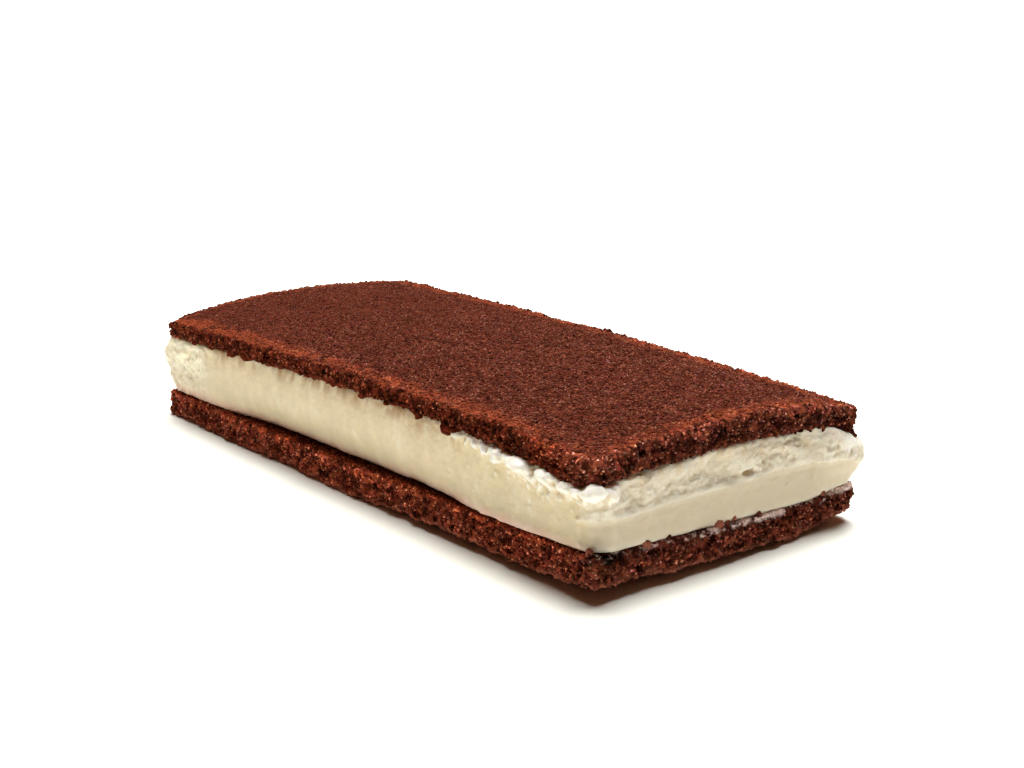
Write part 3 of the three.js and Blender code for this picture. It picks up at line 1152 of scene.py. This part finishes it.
# Painted shade and light, with some staining: tan in the hollows and under the top sponge on the cut end as
# painted shade, brown under the top sponge on the near side as stains and painted shade from its overhang,
# and a reddish foot over the base, painted light reflected from the base together with shade
def stainedAndShaded(board, look, colour, recipe):
    spots = board.uneven(look.tall, recipe["spotSize"] * mm, 2, 0.5, 3.0)
    under = underTop(look.x, look.z) + look.cloud * (0.6 * mm)
    # stains and painted shade under the top sponge on the near side
    stainAndShade = under.stepMm(3.2, 0.8) * spots.step(-0.35, 0.35)
    stainAndShade = stainAndShade.atLeast(under.stepMm(1.7, 0.6) * 0.6) * look.x.stepMm(30, 22) * (1 - look.torn)
    underEnd = underTopEnd(look.y, look.z) + look.cloud * (0.4 * mm)
    # painted shade under the top sponge on the cut end
    endShade = underEnd.stepMm(1.6, 0.2) * look.cutFace * look.y.stepMm(-18, -13)
    endShade = endShade * spots.step(-0.3, 0.6) * look.y.stepMm(17, 12)
    # painted shade in the hollows
    hollow = (look.lift + look.cloud * 0.1).step(-0.04, -0.5) * (0.4 + look.torn * 0.6)
    height = look.z + look.y * 0.03 - look.x * 0.017 + look.cloud * (0.2 * mm)
    # painted reflected light from the base, with shade, on the cream's foot
    foot = height.stepMm(6.0, 4.0) * (1 - look.cutFace)
    colour = board.blend(hollow.atLeast(endShade * recipe["tanEnd"]), colour, recipe["tan"])
    colour = board.blend(stainAndShade * recipe["stainAndShadeShare"], colour, recipe["stainAndShade"])
    return board.blend(foot * recipe["footShare"], colour, recipe["foot"])


def creamMaterial(recipe):
    material, board, shader = newMaterial("milkCream")
    look = CreamSigns(board, recipe)
    board.feed(stainedAndShaded(board, look, whitened(board, look, recipe), recipe), shader, "Base Color")
    board.feed(recipe["roughness"] + look.cloud * recipe["cloudRoughness"], shader, "Roughness")
    shader.inputs["Specular IOR Level"].default_value = recipe["specular"]
    shader.inputs["Subsurface Weight"].default_value = recipe["subsurface"]
    shader.inputs["Subsurface Radius"].default_value = recipe["subsurfaceRadius"]
    shader.inputs["Subsurface Scale"].default_value = recipe["subsurfaceScale"] * mm
    froth = board.uneven(look.place, recipe["bumpSize"] * mm, 3, 0.6, 9.0) * (0.5 + look.torn * 0.5)
    sockets = {"Strength": recipe["bump"], "Distance": recipe["bumpDepth"] * mm, "Height": froth}
    board.feed(board.add("ShaderNodeBump", None, sockets), shader, "Normal")
    return material


def makeCream(recipe, lookRecipe):
    piece = copyNode("milk_cream", "creamFilling", recipe["firstVoxel"] * mm * coarseness(), 1)
    pressInputs = {
        "Streak": recipe["streak"] * mm,
        "Tear": recipe["tear"] * mm,
        "Lump": recipe["lump"],
        "Corner": recipe["corner"] * mm,
        "Lip": recipe["lip"] * mm,
        "Flakes": recipe["flakes"] / mm ** 2,
        "Flake radius": recipe["flakeRadius"] * mm,
    }
    attach(piece, creamTree(pressInputs, recipe), pressInputs)
    settle(piece)
    meltTogether(piece, recipe["voxel"] * mm * coarseness(), 1)
    skinInputs = {"Fine depth": recipe["fine"] * mm}
    attach(piece, creamFinishTree(skinInputs, recipe, creamMaterial(lookRecipe)), skinInputs)
    settle(piece)
    places, normals = meshArrays(piece.data)
    halfLong, halfWide = recipe["hidden"]
    hidden = (np.abs(places[:, 0]) < halfLong * mm) & (np.abs(places[:, 1]) < halfWide * mm)
    hidden = hidden & (np.abs(normals[:, 2]) > 0.5)
    thinOut(piece, np.where(hidden, 1.0, 0.0), recipe["triangles"])
    finishPiece(piece, "milk_cream", "milk_cream")


# Loose crumbs in mm: those that lie, as (along, across, height, radius), and those that hang under the top
# sponge's near edge, as (along, radius)
crumbs = {
    "lying": [
        (50.1, -13.9, 5.6, 0.60),
        (50.2, -10.3, 5.3, 0.55),
        (50.1, -1.9, 5.2, 0.75),
        (50.2, -0.7, 5.0, 0.50),
        (50.1, 0.5, 5.4, 0.45),
        (50.1, 5.0, 4.8, 0.55),
        (50.1, 16.8, 4.8, 0.50),
        (49.2, -21.9, 6.0, 0.50),
        (3.3, 21.9, 15.9, 0.70),
        (2.2, 22.0, 15.8, 0.50),
    ],
    "hanging": [
        (-41.5, 0.45), (-36.2, 0.5), (-30.6, 0.8), (-26.2, 0.85), (-24.9, 0.5), (-18.4, 0.45), (-11.6, 0.5),
        (-3.2, 0.5), (3.9, 0.6), (9.4, 0.45), (16.3, 0.5), (22.6, 0.9), (24.2, 0.6),
    ],
    "hangingAcross": -22.2,
    "hangingDepth": 0.1,  # against the radius
    "lumpSize": 0.6,
    "lumpDepth": 0.3,
}


# Each crumb is a ball, made uneven
def looseCrumbTree(inputs, material):
    board = geometryBoard("looseCrumb", inputs)
    give = board.inputs
    place = board.add("GeometryNodeInputPosition")
    normal = board.add("GeometryNodeInputNormal")
    sockets = {"Points": give["Geometry"], "Instance": board.roundBall(3), "Scale": board.kept("size")}
    placed = board.add("GeometryNodeInstanceOnPoints", None, sockets)
    balls = board.add("GeometryNodeRealizeInstances", None, {"Geometry": placed})
    shape = board.uneven(place, give["Lump size"], 3, 0.6, 5.5) * give["Lump depth"]
    uneven = board.moved(balls, board.scaled(normal, shape))
    board.leave(board.finished(board.measured(uneven, place, normal, 3), material))
    return board


# The crumbs that lie are pale all over, with the painted light of faces that look down, and the others have
# the walls' colour
def makeCrumbs(recipe, material):
    balls = [(x, y, z, radius, -1.0) for x, y, z, radius in recipe["lying"]]
    for x, radius in recipe["hanging"]:
        depth = recipe["hangingDepth"] * radius
        balls.append((x, recipe["hangingAcross"], underTop(x * mm, depth * mm) / mm, radius, 0.0))
    mesh = bpy.data.meshes.new("looseCrumbs")
    mesh.from_pydata([(x * mm, y * mm, z * mm) for x, y, z, radius, facing in balls], [], [])
    sizes = mesh.attributes.new("size", "FLOAT", "POINT")
    sizes.data.foreach_set("value", [radius * mm for x, y, z, radius, facing in balls])
    facings = mesh.attributes.new("facing", "FLOAT", "POINT")
    facings.data.foreach_set("value", [facing for x, y, z, radius, facing in balls])
    piece = addObject("looseCrumbs", mesh)
    crumbInputs = {"Lump size": recipe["lumpSize"] * mm, "Lump depth": recipe["lumpDepth"] * mm}
    attach(piece, looseCrumbTree(crumbInputs, material), crumbInputs)
    settle(piece)
    finishPiece(piece, "cocoa_sponge")


makeCamera(photoCamera)
makeStudio(studio)
print("camera and studio are set")
cocoa = cocoaMaterial(sponge)
baseSlab = makeSlab("base_sponge", "baseSponge", sponge, cocoa, 1, bite["depth"])
topSlab = makeSlab("top_sponge", "topSponge", sponge, cocoa, -1, 0.0)
makeCrumbs(crumbs, cocoa)
makeGrains([baseSlab, topSlab], grains, grainKinds)
makeCream(cream, creamLook)
